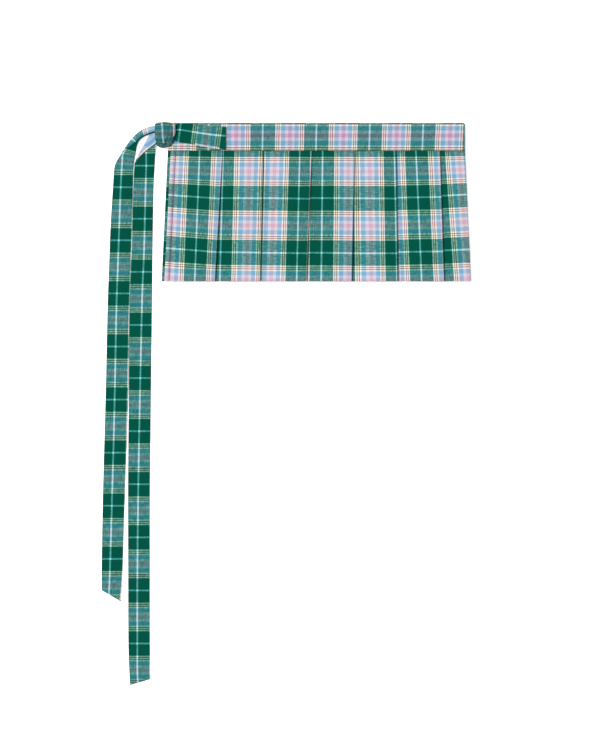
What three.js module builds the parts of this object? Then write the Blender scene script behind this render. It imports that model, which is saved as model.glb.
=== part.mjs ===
// A short wrap skirt of pleated plaid cotton, laid flat with its right side up. Millimetres, +Z up.
// +X runs across it to the side fold, +Y up to the waist, and the ties' free ends run down along -Y.
// The origin is on the surface that it lies on, under the middle of its outline.
import * as THREE from 'three';

// Cloth: one layer, the clear space between layers or pieces, and the step from layer to layer
const CLOTH = 1;
const GAP = 0.3;
const LAYER = CLOTH + GAP;
const FOLD_RADIUS = LAYER / 2;
const FOLD_STEPS = 4;

// Pleated skirt
const HEM_Y = 158.6;
const WAIST_SEAM_Y = 328;
const PANEL_SECTIONS = 6;
const HEM_TURN = 8.5;
const SIDE_TURN = 16;
const PLEAT_OPENING = 1.2;
const FRONT_RAMP_CLEARANCE = 2;
const BACK_RAMP = 9;
const BACK_PLEAT_DEPTH = 20;
const BACK_PLEATS = 6;

// Where the edges of the panels lie, across the skirt, at the band and at the hem
const FRONT_FREE_EDGE = { top: -150.4, hem: -158 };
const BACK_FREE_EDGE = { top: -153.4, hem: -161.2 };
const SIDE_EDGE = { top: 232.2, hem: 240.5 };
const FRONT_PLEATS = [
  { top: -83.1, hem: -93.0, depth: 19.3 },
  { top: -30.0, hem: -33.5, depth: 19.1 },
  { top: 32.8, hem: 25.7, depth: 19.9 },
  { top: 88.4, hem: 84.8, depth: 21.8 },
  { top: 142.6, hem: 145.2, depth: 20.0 },
  { top: 199.6, hem: 206.2, depth: 22.5 },
];

// Heights of the middle of the lowest layer, of the back panel and of the front panel on it
const BACK_LOW = CLOTH / 2;
const FRONT_LOW = BACK_LOW + 3 * LAYER;

// Waistband: a folded strip with its raw edges inside, so a thicker wall than one layer.
// Its front leg is lifted at the seam by the pleats there and lies on the back leg at the top.
const BAND = { left: -156.4, seam: 328.3, backTop: 364.7, frontTop: 363.0, thick: 2, edge: 1.1 };
const BAND_BACK_MID = BAND.thick / 2;
const BAND_FRONT_MID = { seam: 6.9, top: 3.4 };
const BAND_SECTIONS = [0, 0.03, 0.5, 0.97, 1];

// Ties: a flat tube of two layers, pressed
const TIE_THICK = 1.4;
const TIE_EDGE_THICK = 0.8;
const TIE_EDGE = 0.04;

// The front tie on the band, from its sewn end to where it goes in under the knot
const TIE_FRONT = [
  { x: -78.0, low: 330.6, high: 361.7 },
  { x: -101.4, low: 333.4, high: 362.7 },
  { x: -119.6, low: 335.9, high: 363.5 },
  { x: -135.2, low: 338.8, high: 363.7 },
  { x: -149.0, low: 342.8, high: 362.4 },
];

// The knot, in upright sections: from the floor beside the band, then over the band, then over the tie
const KNOT = [
  { x: -170.3, low: 341.9, high: 360.1, top: 8.0, on: 'floor' },
  { x: -168.3, low: 338.7, high: 364.0, top: 11.2, on: 'floor' },
  { x: -163.8, low: 334.5, high: 365.6, top: 14.0, on: 'floor' },
  { x: -156.9, low: 332.8, high: 366.0, top: 15.2, on: 'floor' },
  { x: -156.6, low: 332.8, high: 366.0, top: 15.2, on: 'band' },
  { x: -152.1, low: 333.3, high: 365.5, top: 14.8, on: 'band' },
  { x: -149.5, low: 336.1, high: 364.9, top: 14.3, on: 'band' },
  { x: -149.2, low: 336.4, high: 364.8, top: 14.2, on: 'tie' },
  { x: -146.6, low: 339.9, high: 364.1, top: 13.4, on: 'tie' },
  { x: -144.3, low: 345.4, high: 363.4, top: 12.4, on: 'tie' },
  { x: -143.0, low: 350.9, high: 361.6, top: 11.2, on: 'tie' },
];
const KNOT_ARCH_STEPS = 8;
const KNOT_SHOULDER = 0.35;
const KNOT_UNDERSIDE_INSET = 0.1;

// The free ends, in sections from the knot: the left and right edge of the tie, its underside and its top.
// Each leaves the knot gathered narrow and thick, spreads and lies flat, and is cut at a slant.
const TIE_END_SHORT = [
  { lx: -170.7, ly: 360.1, rx: -170.7, ry: 353.2, low: 2.5, high: 7.0 },
  { lx: -178.6, ly: 358.7, rx: -177.8, ry: 350.2, low: 2.0, high: 6.8 },
  { lx: -186.0, ly: 354.9, rx: -185.1, ry: 346.8, low: 1.4, high: 6.2 },
  { lx: -193.2, ly: 349.2, rx: -190.8, ry: 342.0, low: 0.8, high: 5.4 },
  { lx: -199.4, ly: 342.2, rx: -193.7, ry: 337.2, low: 0.3, high: 4.4 },
  { lx: -205.1, ly: 334.1, rx: -195.0, ry: 330.2, low: 0, high: 3.4 },
  { lx: -212.4, ly: 324.5, rx: -196.3, ry: 321.6, low: 0, high: 2.4 },
  { lx: -219.2, ly: 314.6, rx: -198.1, ry: 312.7, low: 0, high: 1.8 },
  { lx: -223.6, ly: 305.5, rx: -198.9, ry: 304.2, low: 0, high: TIE_THICK },
  { lx: -225.4, ly: 284.7, rx: -199.6, ry: 284.7, low: 0, high: TIE_THICK },
  { lx: -228.8, ly: 230.1, rx: -201.2, ry: 230.1, low: 0, high: TIE_THICK },
  { lx: -232.7, ly: 120.9, rx: -204.1, ry: 120.9, low: 0, high: TIE_THICK },
  { lx: -235.3, ly: 3.9, rx: -206.4, ry: 3.9, low: 0, high: TIE_THICK },
  { lx: -237.9, ly: -87.1, rx: -209.0, ry: -87.1, low: 0, high: TIE_THICK },
  { lx: -240.5, ly: -230.1, rx: -213.2, ry: -230.1, low: 0, high: TIE_THICK },
  { lx: -240.1, ly: -242.8, rx: -215.4, ry: -257.4, low: 0, high: TIE_THICK },
];
const TIE_END_LONG = [
  { lx: -170.7, ly: 348.1, rx: -170.7, ry: 339.6, low: 1.4, high: 6.4 },
  { lx: -176.8, ly: 346.7, rx: -170.6, ry: 335.4, low: 1.0, high: 5.8 },
  { lx: -182.9, ly: 338.5, rx: -170.6, ry: 328.5, low: 0.5, high: 4.8 },
  { lx: -189.4, ly: 327.6, rx: -170.8, ry: 321.1, low: 0, high: 3.6 },
  { lx: -195.4, ly: 316.4, rx: -171.2, ry: 312.0, low: 0, high: 2.4 },
  { lx: -198.0, ly: 305.5, rx: -171.6, ry: 302.9, low: 0, high: TIE_THICK },
  { lx: -198.9, ly: 276.9, rx: -172.9, ry: 276.9, low: 0, high: TIE_THICK },
  { lx: -201.1, ly: 198.9, rx: -174.2, ry: 198.9, low: 0, high: TIE_THICK },
  { lx: -203.5, ly: 81.9, rx: -175.5, ry: 81.9, low: 0, high: TIE_THICK },
  { lx: -205.1, ly: -48.1, rx: -176.8, ry: -48.1, low: 0, high: TIE_THICK },
  { lx: -205.4, ly: -204.1, rx: -177.8, ry: -204.1, low: 0, high: TIE_THICK },
  { lx: -204.4, ly: -354.9, rx: -176.8, ry: -354.9, low: 0, high: TIE_THICK },
  { lx: -203.5, ly: -366.0, rx: -176.8, ry: -358.2, low: 0, high: TIE_THICK },
];

const COTTON = { roughness: 0.9, metalness: 0 };

const mix = (from, to, share) => from + (to - from) * share;
const steps = (count) => Array.from({ length: count + 1 }, (_, i) => i / count);

// A closed solid through rings of points. A ring's first half is one face, its second half the other,
// run backwards, so each point has its partner across the wall and the two ends close as strips.
function loft(rings) {
  const size = rings[0].length;
  const points = rings.flat();
  const index = [];
  const quad = (a, b, c, d) => index.push(a, b, c, a, c, d);
  for (let row = 0; row + 1 < rings.length; row += 1) {
    const here = row * size;
    for (let k = 0; k < size; k += 1) {
      const next = (k + 1) % size;
      quad(here + k, here + next, here + size + next, here + size + k);
    }
  }
  const last = points.length - size;
  for (let k = 0; k + 1 < size / 2; k += 1) {
    const across = size - 1 - k;
    quad(k, across, across - 1, k + 1);
    quad(last + k, last + k + 1, last + across - 1, last + across);
  }
  if (volume(points, index) < 0) index.reverse();
  const geometry = new THREE.BufferGeometry();
  geometry.setAttribute('position', new THREE.Float32BufferAttribute(points.flat(), 3));
  geometry.setIndex(index);
  geometry.computeVertexNormals();
  return geometry;
}

// Volume inside a closed set of triangles, negative when they face in
function volume(points, index) {
  let sum = 0;
  for (let i = 0; i < index.length; i += 3) {
    const [a, b, c] = [0, 1, 2].map((k) => new THREE.Vector3(...points[index[i + k]]));
    sum += a.dot(b.cross(c)) / 6;
  }
  return sum;
}

// Half a turn in a path of [x, height] points: side 1 bulges to +x, way 1 goes down and way -1 up
function halfTurn(x, height, radius, side, way) {
  return steps(FOLD_STEPS).map((share) => {
    const angle = Math.PI * (0.5 - share);
    return [x + side * radius * Math.cos(angle), height + way * radius * Math.sin(angle)];
  });
}

// Both faces of a wall whose middle runs along a path, as one ring of [x, height] points
function wallRing(path, thick) {
  const points = path.map((point) => new THREE.Vector2(...point));
  const direction = (i) => points[i + 1].clone().sub(points[i]).normalize();
  const faces = path.map(([x, height], i) => {
    const before = direction(Math.max(i - 1, 0));
    const after = direction(Math.min(i, path.length - 2));
    const along = before.clone().add(after).normalize();
    const [dx, dh] = along.multiplyScalar(thick / 2 / along.dot(after));
    return { up: [x - dh, height + dx], down: [x + dh, height - dx] };
  });
  return [...faces.map((face) => face.up), ...faces.map((face) => face.down).reverse()];
}

// Knife pleats in a path across a panel. Heights count from the lowest layer. Each strip starts hidden
// under the fold before it, climbs along a ramp, lies on its own fold's layers and turns under at the edge.
function pleats(path, folds, rampEnd) {
  for (const { edge, depth, opening } of folds) {
    const radius = FOLD_RADIUS + opening / 2;
    path.push([rampEnd(path.at(-1)[0], edge - depth), LAYER + 2 * radius]);
    path.push(...halfTurn(edge - radius - CLOTH / 2, LAYER + radius, radius, 1, 1));
    path.push(...halfTurn(edge - depth, FOLD_RADIUS, FOLD_RADIUS, -1, 1));
    path.push([edge, 0]);
  }
  return path;
}

// The front: its free edge is turned under, and past its last pleat it folds round the side to the floor
function frontPath(share) {
  const at = (edge) => mix(edge.top, edge.hem, share);
  const free = at(FRONT_FREE_EDGE);
  const start = [
    [free + HEM_TURN, 0],
    ...halfTurn(free + FOLD_RADIUS + CLOTH / 2, FOLD_RADIUS, FOLD_RADIUS, -1, -1),
    [free + HEM_TURN, LAYER],
  ];
  const opening = PLEAT_OPENING * share;
  const folds = FRONT_PLEATS.map((pleat) => ({ edge: at(pleat), depth: pleat.depth, opening }));
  const path = pleats(start, folds, (from, hidden) => hidden - FRONT_RAMP_CLEARANCE);
  const side = at(SIDE_EDGE);
  const radius = (FRONT_LOW + LAYER - BACK_LOW) / 2;
  path.push(...halfTurn(side - radius - CLOTH / 2, LAYER - radius, radius, 1, 1));
  path.push([side - SIDE_TURN, LAYER - 2 * radius]);
  return path.map(([x, height]) => [x, FRONT_LOW + height]);
}

// The back: the same pleats face down, running on from the side fold, flat against the floor
function backPath(share) {
  const at = (edge) => mix(edge.top, edge.hem, share);
  const start = -at(SIDE_EDGE) + SIDE_TURN + GAP;
  const free = -at(BACK_FREE_EDGE);
  const pitch = (free - start) / (BACK_PLEATS + 1);
  const folds = steps(BACK_PLEATS - 1).map((_, i) => ({
    edge: start + pitch * (i + 1), depth: BACK_PLEAT_DEPTH, opening: 0,
  }));
  const outer = 2 * LAYER;
  const path = pleats([[start, outer]], folds, (from) => from + BACK_RAMP);
  path.push([path.at(-1)[0] + BACK_RAMP, outer]);
  path.push(...halfTurn(free - FOLD_RADIUS - CLOTH / 2, outer - FOLD_RADIUS, FOLD_RADIUS, 1, 1));
  path.push([free - HEM_TURN, outer - LAYER]);
  return path.map(([x, height]) => [-x, BACK_LOW + outer - height]);
}

// A pleated panel from the hem to the seam under the band
function panel(pathAt) {
  return loft(steps(PANEL_SECTIONS).map((share) => {
    const y = mix(WAIST_SEAM_Y, HEM_Y, share);
    return wallRing(pathAt(share), CLOTH).map(([x, z]) => [x, y, z]);
  }));
}

// How far up the band a point lies, and how high the top of the band's front leg is there
const bandShare = (y) => (y - BAND.seam) / (BAND.frontTop - BAND.seam);
const bandTop = (y) => mix(BAND_FRONT_MID.seam, BAND_FRONT_MID.top, bandShare(y)) + BAND.thick / 2;

// The waistband: back leg on the floor, a fold at the side, and the front leg over it, a little shorter
function waistband() {
  return loft(BAND_SECTIONS.map((share) => {
    const front = mix(BAND_FRONT_MID.seam, BAND_FRONT_MID.top, share);
    const radius = (front - BAND_BACK_MID) / 2;
    const path = [
      [BAND.left, BAND_BACK_MID],
      ...halfTurn(SIDE_EDGE.top - radius - BAND.thick / 2, BAND_BACK_MID + radius, radius, 1, -1),
      [BAND.left, front],
    ];
    const thick = share === 0 || share === 1 ? BAND.edge : BAND.thick;
    return wallRing(path, thick).map(([x, z]) => {
      const rise = THREE.MathUtils.clamp((z - BAND_BACK_MID) / (front - BAND_BACK_MID), 0, 1);
      return [x, mix(BAND.seam, mix(BAND.backTop, BAND.frontTop, rise), share), z];
    });
  }));
}

// One section of a tie between two edge points, a little thinner along its edges
function tieRing(from, to, lowAt, highAt) {
  const across = [0, TIE_EDGE, 1 - TIE_EDGE, 1];
  const points = across.map((share) => {
    const [x, y] = [mix(from[0], to[0], share), mix(from[1], to[1], share)];
    const [low, high] = [lowAt(y), highAt(y)];
    const trim = share === 0 || share === 1 ? (1 - TIE_EDGE_THICK / TIE_THICK) / 2 * (high - low) : 0;
    return { top: [x, y, high - trim], under: [x, y, low + trim] };
  });
  return [...points.map((point) => point.top), ...points.map((point) => point.under).reverse()];
}

function tieFront() {
  const low = (y) => bandTop(y) + GAP;
  const high = (y) => low(y) + TIE_THICK;
  return loft(TIE_FRONT.map((row) => tieRing([row.x, row.low], [row.x, row.high], low, high)));
}

function tieEnd(rows) {
  return loft(rows.map((row) => tieRing([row.lx, row.ly], [row.rx, row.ry], () => row.low, () => row.high)));
}

// The knot: an arch of cloth over a nearly flat underside
function knot() {
  const undersides = {
    floor: () => 0,
    band: (y) => bandTop(y) + GAP,
    tie: (y) => bandTop(y) + GAP + TIE_THICK + GAP,
  };
  return loft(KNOT.map(({ x, low, high, top, on }) => {
    const [middle, reach] = [(low + high) / 2, (high - low) / 2];
    const arch = steps(KNOT_ARCH_STEPS).map((share) => {
      const angle = Math.PI * (1 - share);
      const y = middle + reach * Math.cos(angle);
      const base = undersides[on](y);
      return [x, y, mix(base, top, mix(KNOT_SHOULDER, 1, Math.sin(angle) ** 0.7))];
    });
    const under = arch.map(([, y]) => {
      const inset = mix(y, middle, KNOT_UNDERSIDE_INSET);
      return [x, inset, undersides[on](inset)];
    });
    return [...arch, ...under.reverse()];
  }));
}

const skirt = new THREE.Group();

function add(name, geometry, color) {
  const mesh = new THREE.Mesh(geometry, new THREE.MeshStandardMaterial({ color, ...COTTON }));
  mesh.name = name;
  skirt.add(mesh);
}

add('back_panel', panel(backPath), 0x4f8f86);
add('front_panel', panel(frontPath), 0x6f9f9c);
add('waistband', waistband(), 0x8fa6bd);
add('tie_front', tieFront(), 0x2f7a6c);
add('knot', knot(), 0x3a8580);
add('tie_end_short', tieEnd(TIE_END_SHORT), 0x2f7a6c);
add('tie_end_long', tieEnd(TIE_END_LONG), 0x2f7a6c);

export default skirt;
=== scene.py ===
"""A short pleated wrap skirt in plaid cotton, laid flat, its ties knotted at one end of the waistband.

Lengths in the tables are millimetres in the frame of the solids: +X across to the side fold, +Y to the waist.
"""

import math
from collections import namedtuple

import bmesh
import bpy
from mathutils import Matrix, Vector


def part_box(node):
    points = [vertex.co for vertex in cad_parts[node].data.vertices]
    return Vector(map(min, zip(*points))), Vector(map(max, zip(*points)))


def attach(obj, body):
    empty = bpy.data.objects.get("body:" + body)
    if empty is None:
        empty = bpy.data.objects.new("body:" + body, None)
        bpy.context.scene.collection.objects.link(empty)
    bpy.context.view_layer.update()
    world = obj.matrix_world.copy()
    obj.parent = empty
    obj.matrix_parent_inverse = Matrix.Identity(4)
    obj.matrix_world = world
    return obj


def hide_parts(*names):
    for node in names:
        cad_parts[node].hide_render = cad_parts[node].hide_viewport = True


bl_info = {
    "name": "Pleated Wrap Skirt",
    "version": (1, 0, 0),
    "blender": (4, 5, 0),
    "location": "View3D > Sidebar > Wrap Skirt",
    "description": "Builds a plaid cotton wrap skirt, laid flat with its ties knotted",
    "category": "Add Mesh",
}

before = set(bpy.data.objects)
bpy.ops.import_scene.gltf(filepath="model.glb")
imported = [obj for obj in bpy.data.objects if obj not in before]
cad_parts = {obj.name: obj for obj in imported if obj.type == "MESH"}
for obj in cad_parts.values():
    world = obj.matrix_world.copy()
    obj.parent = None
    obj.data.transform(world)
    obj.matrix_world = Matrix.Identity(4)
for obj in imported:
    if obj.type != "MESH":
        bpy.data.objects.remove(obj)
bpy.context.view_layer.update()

MM = 0.001
UP = Vector((0, 0, 1))


def table(columns, *rows):
    """Rows of values with named columns."""
    kind = namedtuple("Row", columns)
    return [kind(*row) for row in rows]


# Plaid: the repeat across and along the cloth, and the stripes of half a repeat, each from its distance
# to the middle of the pink stripe. The other half mirrors them, and both ways of the cloth have the same.
REPEAT_ACROSS = 69.5
REPEAT_ALONG = 70.8
HALF_REPEAT = 34.75
STRIPES = (
    ("pink", 0.0),
    ("white", 2.3),
    ("blue", 6.0),
    ("cream", 11.3),
    ("brick", 13.4),
    ("cream", 14.4),
    ("brick", 15.9),
    ("cream", 16.9),
    ("green", 18.6),
    ("aqua", 33.6),
)

# Heights of the cloth's middle: the layers of a pleat lie one step apart, the front on the back
LAYER = 1.3
FLOOR_LAYER = 0.5
BACK_STACK = 3 * LAYER

# Skirt: its hem and its seam, and the two edges of each panel at the band and at the hem. The hem is a
# little inside the solids' box, because the folded cloth has a thickness.
HEM_INSET = 0.4
HEM_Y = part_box("front_panel")[0].y / MM + HEM_INSET
SEAM_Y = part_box("front_panel")[1].y / MM
TUCK_UNDER_BAND = 3.0
Edge = namedtuple("Edge", "top hem")
FREE_EDGE = Edge(-150.1, -158.5)
BACK_EDGE = Edge(-154.1, -162.2)
SIDE_EDGE = Edge(231.8, 239.8)

# How far the front turns under at the side, the depth of the hems, and how far in the side hem is sewn
SIDE_TURN = 16.0
SIDE_HEM = 8.5
BOTTOM_HEM = 8.0
HEM_GROOVE_IN = 6.2

# Strips of the front from its free edge, each with its fold edge at the band and at the hem and the depth
# of the pleat there. Left and right are where two aqua lines across the strip meet its edges; the next
# aqua lines, above and below the panel, are straight. Lines are stripes along the strip: their place in
# the repeat and their x at LINES_HIGH_Y and at LINES_LOW_Y. Places in the repeat are counted in repeats
# from an aqua line; THIN and PINK are those of the thin dark lines and of the pink stripe.
LINES_HIGH_Y = 275.6
LINES_LOW_Y = 184.6
AQUA_ABOVE_Y = 336.2
AQUA_BELOW_Y = 124.8
THIN = 0.285
PINK = 0.5
STRIPS = table(
    "top hem depth left1 right1 left2 right2 lines",
    (-83.1, -93.0, 19.3, 271.0, 266.1, 201.8, 196.3, (
        (-PINK, -147.0, -151.1), (-THIN, -132.2, -136.0), (0, -114.8, -118.1), (THIN, -95.9, -100.0),
    )),
    (-30.0, -33.5, 19.1, 266.9, 266.5, 196.6, 195.9, (
        (0, -83.6, -85.9), (THIN, -65.3, -67.5), (PINK, -49.0, -51.2), (1 - THIN, -34.3, -36.9),
    )),
    (32.8, 25.7, 19.9, 266.9, 265.9, 195.8, 195.0, (
        (-PINK, -16.5, -19.2), (-THIN, -1.3, -4.2), (0, 16.0, 13.8),
    )),
    (88.4, 84.8, 21.8, 266.9, 266.5, 195.9, 195.1, (
        (0, 46.4, 45.4), (THIN, 65.3, 64.4), (PINK, 80.3, 80.3),
    )),
    (142.6, 144.8, 20.0, 266.6, 266.1, 195.1, 195.0, (
        (THIN - 1, 92.3, 93.3), (-PINK, 108.6, 110.2), (-THIN, 123.4, 124.8), (0, 141.1, 143.0),
    )),
    (199.2, 204.6, 22.5, 267.4, 268.2, 196.7, 197.5, (
        (-THIN, 152.4, 156.0), (0, 170.3, 174.3), (THIN, 189.5, 193.6),
    )),
    (231.8, 239.8, 0.0, 269.9, 271.6, 198.8, 200.1, (
        (0, 194.5, 200.3), (THIN, 213.1, 219.6), (PINK, 227.8, 234.8),
    )),
)
BACK_PLEATS = 6
BACK_PLEAT_DEPTH = 20.0

# Where the plaid starts at the back's free edge, in repeats from an aqua line
BACK_EDGE_ACROSS = 0.10

# Soft creases in the skirt as it lies: middle, bearing of its length from +X, half length, half width, height
CREASE_COLUMNS = "x y bearing length width height"
SKIRT_CREASES = table(
    CREASE_COLUMNS,
    (-128, 290, 84, 40, 9, 0.5),
    (-100, 205, 78, 46, 11, 0.7),
    (-62, 240, 96, 55, 10, -0.5),
    (-8, 190, 86, 34, 9, 0.6),
    (8, 296, 100, 30, 8, -0.4),
    (62, 222, 92, 48, 10, 0.5),
    (112, 184, 99, 30, 9, 0.6),
    (120, 285, 82, 38, 8, -0.4),
    (174, 215, 88, 50, 10, 0.6),
    (222, 250, 80, 44, 8, 0.5),
    (30, 168, 8, 60, 7, 0.4),
    (-120, 170, 172, 30, 8, 0.5),
    (190, 170, 4, 34, 7, 0.5),
)

# Waistband: its edges on the front, how far the back stands above it, the height of the front's middle at
# the seam and at the top, and where the pink stripes across it lie
BAND_LEFT = -153.6
BAND_SEAM_Y = 328.3
BAND_FRONT_TOP_Y = 363.0
BAND_BACK_TOP_Y = 364.7
BAND_BACK_MID = 1.0
BAND_FRONT_SEAM_MID = 6.9
BAND_FRONT_TOP_MID = 3.4
BAND_THICK = 1.7
BAND_PINK_Y = 348.1
BAND_PINK_XS = (-136.0, -65.4, 4.3, 73.5, 142.4, 211.5)
BAND_GIVE = 0.0105

# The part of the repeat that the band's hidden side shows
BAND_LINING = (0.80, 0.96)

# The band is pulled a little wider than cut: plaid to real millimetres below and above the pink line
BAND_PULL_BELOW = 0.89
BAND_PULL_ABOVE = 0.95

# Beside the knot the tie draws the band's cloth up a little
BAND_DRAWN_UP = 2.0
BAND_DRAWN_FROM_X = -106.0
BAND_DRAWN_OVER = 20.0

BAND_CREASES = table(
    CREASE_COLUMNS,
    (-40, 350, 8, 30, 6, 0.25),
    (30, 338, 172, 42, 5, -0.3),
    (96, 352, 6, 36, 6, 0.3),
    (150, 337, 176, 30, 5, -0.25),
    (205, 346, 14, 26, 6, 0.3),
)

# The tie sewn on the band: its edges and its aqua line, from the sewn end to where it goes into the knot
TIE_THICK = 1.3
TIE_WIDTH = 27.6
TIE_ON_BAND = table(
    "x low high aqua",
    (-78.7, 329.2, 359.2, 347.5),
    (-94.3, 331.2, 360.0, 348.8),
    (-104.7, 332.7, 361.3, 350.2),
    (-112.7, 334.2, 362.6, 351.3),
    (-120.3, 335.9, 363.8, 352.6),
    (-126.9, 337.5, 364.2, 353.6),
    (-135.9, 338.6, 364.2, 355.2),
    (-143.0, 340.2, 362.8, 355.5),
    (-147.0, 343.8, 360.2, 354.9),
    (-154.0, 344.6, 359.4, 354.4),
)
TIE_ON_BAND_PINK_X = -103.6
TIE_ON_BAND_SLANT = 0.13

# Its gap over the band, how much the sewn end is lifted more and more to the right of LIFT_FROM_X, and how
# much the middle swells to the left of SWELL_FROM_X, where it is gathered for the knot
TIE_OVER_BAND = 0.3
TIE_LIFT = 0.7
LIFT_FROM_X = -92.0
LIFT_OVER = 12.0
TIE_SWELL = 0.9
SWELL_FROM_X = -120.0
SWELL_OVER = 30.0

# Its lower edge rolls up and shows the tie's other side, with its pale stripe, over a short stretch. The
# plaid on the face goes no further across than FACE_LIMIT, in repeats from the aqua line.
ROLLED_EDGE = 2.5
ROLLED_FROM_X = -122.0
ROLLED_TO_X = -83.0
ROLLED_ACROSS = -0.43
FACE_LIMIT = -0.225

# The free ends, in sections from inside the knot: left and right edge, height of the lower layer, width
# of the part turned over on top, the plaid at the left edge, across from the aqua line, and along the
# tie, both in millimetres
END_COLUMNS = "lx ly rx ry z flap across along"
SHORT_END = table(
    END_COLUMNS,
    (-165.5, 361.2, -165.5, 349.0, 5.4, 6.4, -4.5, 100.0),
    (-170.7, 360.5, -170.7, 348.9, 4.6, 6.0, -4.5, 97.5),
    (-178.9, 358.9, -177.5, 349.4, 4.0, 6.6, -4.5, 94.0),
    (-187.4, 355.4, -184.9, 346.8, 3.3, 6.4, -4.5, 85.0),
    (-195.0, 349.9, -190.8, 342.0, 2.6, 6.0, -4.5, 76.0),
    (-201.9, 342.9, -193.7, 336.6, 1.9, 5.4, -4.0, 67.5),
    (-207.8, 334.7, -195.2, 330.2, 1.4, 3.2, -2.2, 57.5),
    (-214.6, 325.0, -196.5, 321.6, 1.0, 0.0, -2.0, 45.5),
    (-220.9, 314.9, -198.1, 312.7, 0.8, 0.0, -7.4, 33.2),
    (-224.0, 305.5, -198.9, 304.2, 0.7, 0.0, -9.8, 23.5),
    (-225.4, 284.7, -199.6, 284.7, 0.7, 0.0, -10.1, 4.0),
    (-228.8, 230.1, -200.6, 230.1, 0.7, 0.0, -11.4, 0.0),
    (-230.9, 172.0, -202.9, 172.0, 0.9, 0.0, -11.5, 0.0),
    (-232.7, 120.9, -203.9, 120.9, 0.7, 0.0, -11.6, 0.0),
    (-235.3, 3.9, -206.0, 3.9, 0.8, 0.0, -11.9, 0.0),
    (-237.9, -87.1, -209.0, -87.1, 0.7, 0.0, -12.2, 0.0),
    (-239.3, -150.0, -211.2, -150.0, 0.9, 0.0, -11.8, 0.0),
    (-240.4, -215.0, -213.2, -222.0, 0.7, 0.0, -11.2, 0.0),
    (-240.2, -242.8, -215.4, -257.4, 0.7, 0.0, -10.8, 0.0),
)
LONG_END = table(
    END_COLUMNS,
    (-165.5, 352.2, -165.5, 340.8, 4.6, 10.0, 7.0, 48.0),
    (-171.2, 350.9, -169.0, 338.6, 3.9, 11.2, 7.0, 46.0),
    (-177.4, 348.6, -169.8, 335.4, 3.2, 13.0, 4.0, 44.0),
    (-183.4, 339.2, -170.2, 328.5, 2.3, 9.3, -1.4, 41.5),
    (-189.8, 328.0, -170.7, 321.1, 1.4, 4.8, -7.8, 36.0),
    (-195.4, 316.4, -171.2, 312.0, 0.9, 1.2, -13.4, 12.0),
    (-198.0, 305.5, -171.6, 302.9, 0.7, 0.0, -15.6, 3.0),
    (-199.3, 276.9, -172.9, 276.9, 0.7, 0.0, -16.1, 0.0),
    (-202.0, 198.9, -174.2, 198.9, 0.7, 0.0, -16.9, 0.0),
    (-203.6, 146.9, -174.7, 146.9, 0.9, 0.0, -16.3, 0.0),
    (-204.4, 81.9, -175.5, 81.9, 0.7, 0.0, -15.5, 0.0),
    (-205.1, 3.9, -176.4, 3.9, 0.8, 0.0, -14.5, 0.0),
    (-206.0, -100.1, -177.6, -100.1, 0.7, 0.0, -13.5, 0.0),
    (-205.9, -204.1, -177.8, -204.1, 0.8, 0.0, -12.2, 0.0),
    (-205.6, -308.1, -177.6, -308.1, 0.7, 0.0, -11.7, 0.0),
    (-204.4, -348.0, -176.9, -342.0, 0.7, 0.0, -10.8, 0.0),
    (-203.5, -365.9, -176.8, -358.2, 0.7, 0.0, -10.7, 0.0),
)
TIE_REPEAT = 69.0

# The free ends: their length in metres, where the uppermost aqua line lies, below which y the plaid along
# them follows y alone, and the plaid at the free edge of the part turned over, in millimetres from an aqua
# line. That part shows the tie's other side, so its plaid runs on outwards.
FREE_ENDS = table(
    "piece node length rows aqua_y straight_y flap_across",
    ("tie_end_a", "tie_end_short", 0.64, SHORT_END, 281.1, 300.0, -25.8),
    ("tie_end_b", "tie_end_long", 0.72, LONG_END, 309.1, 400.0, -20.3),
)

# Long soft waves in which the pressed ties stand off the floor
TIE_WAVES = table(
    CREASE_COLUMNS,
    (-215, 262, 78, 22, 9, 0.9),
    (-186, 240, 97, 26, 8, 0.8),
    (-218, 150, 4, 16, 10, 1.1),
    (-190, 92, 172, 18, 11, 1.0),
    (-222, 20, 88, 30, 8, 0.8),
    (-190, -40, 10, 18, 12, 1.2),
    (-224, -120, 176, 18, 11, 1.1),
    (-192, -170, 92, 34, 8, 0.8),
    (-228, -215, 84, 20, 7, 0.7),
    (-191, -268, 6, 18, 12, 1.2),
    (-192, -330, 86, 20, 8, 0.8),
)

# Knot: the outer turn, a belt round an oval in Y and Z. Turn goes from its top edge, 0, over the front,
# 0.5, and the bottom edge, 1, round underneath; left and right are its edges, aqua the line along it.
KNOT_TURNS = table(
    "turn left right aqua",
    (0.0, -169.6, -147.2, -161.8),
    (0.2, -170.9, -144.2, -161.6),
    (0.5, -170.9, -144.2, -160.8),
    (0.78, -170.2, -150.4, -159.8),
    (1.0, -167.0, -153.6, -159.3),
    (1.5, -166.4, -150.6, -160.0),
    (2.0, -169.6, -147.2, -161.8),
)
KNOT_MIDDLE_Y = 351.4
KNOT_MIDDLE_Z = 7.2
KNOT_HALF_HEIGHT = 14.3
KNOT_HALF_DEPTH = 7.2
KNOT_CLEARANCE = 0.5
KNOT_PINK_Y = 349.6

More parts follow.
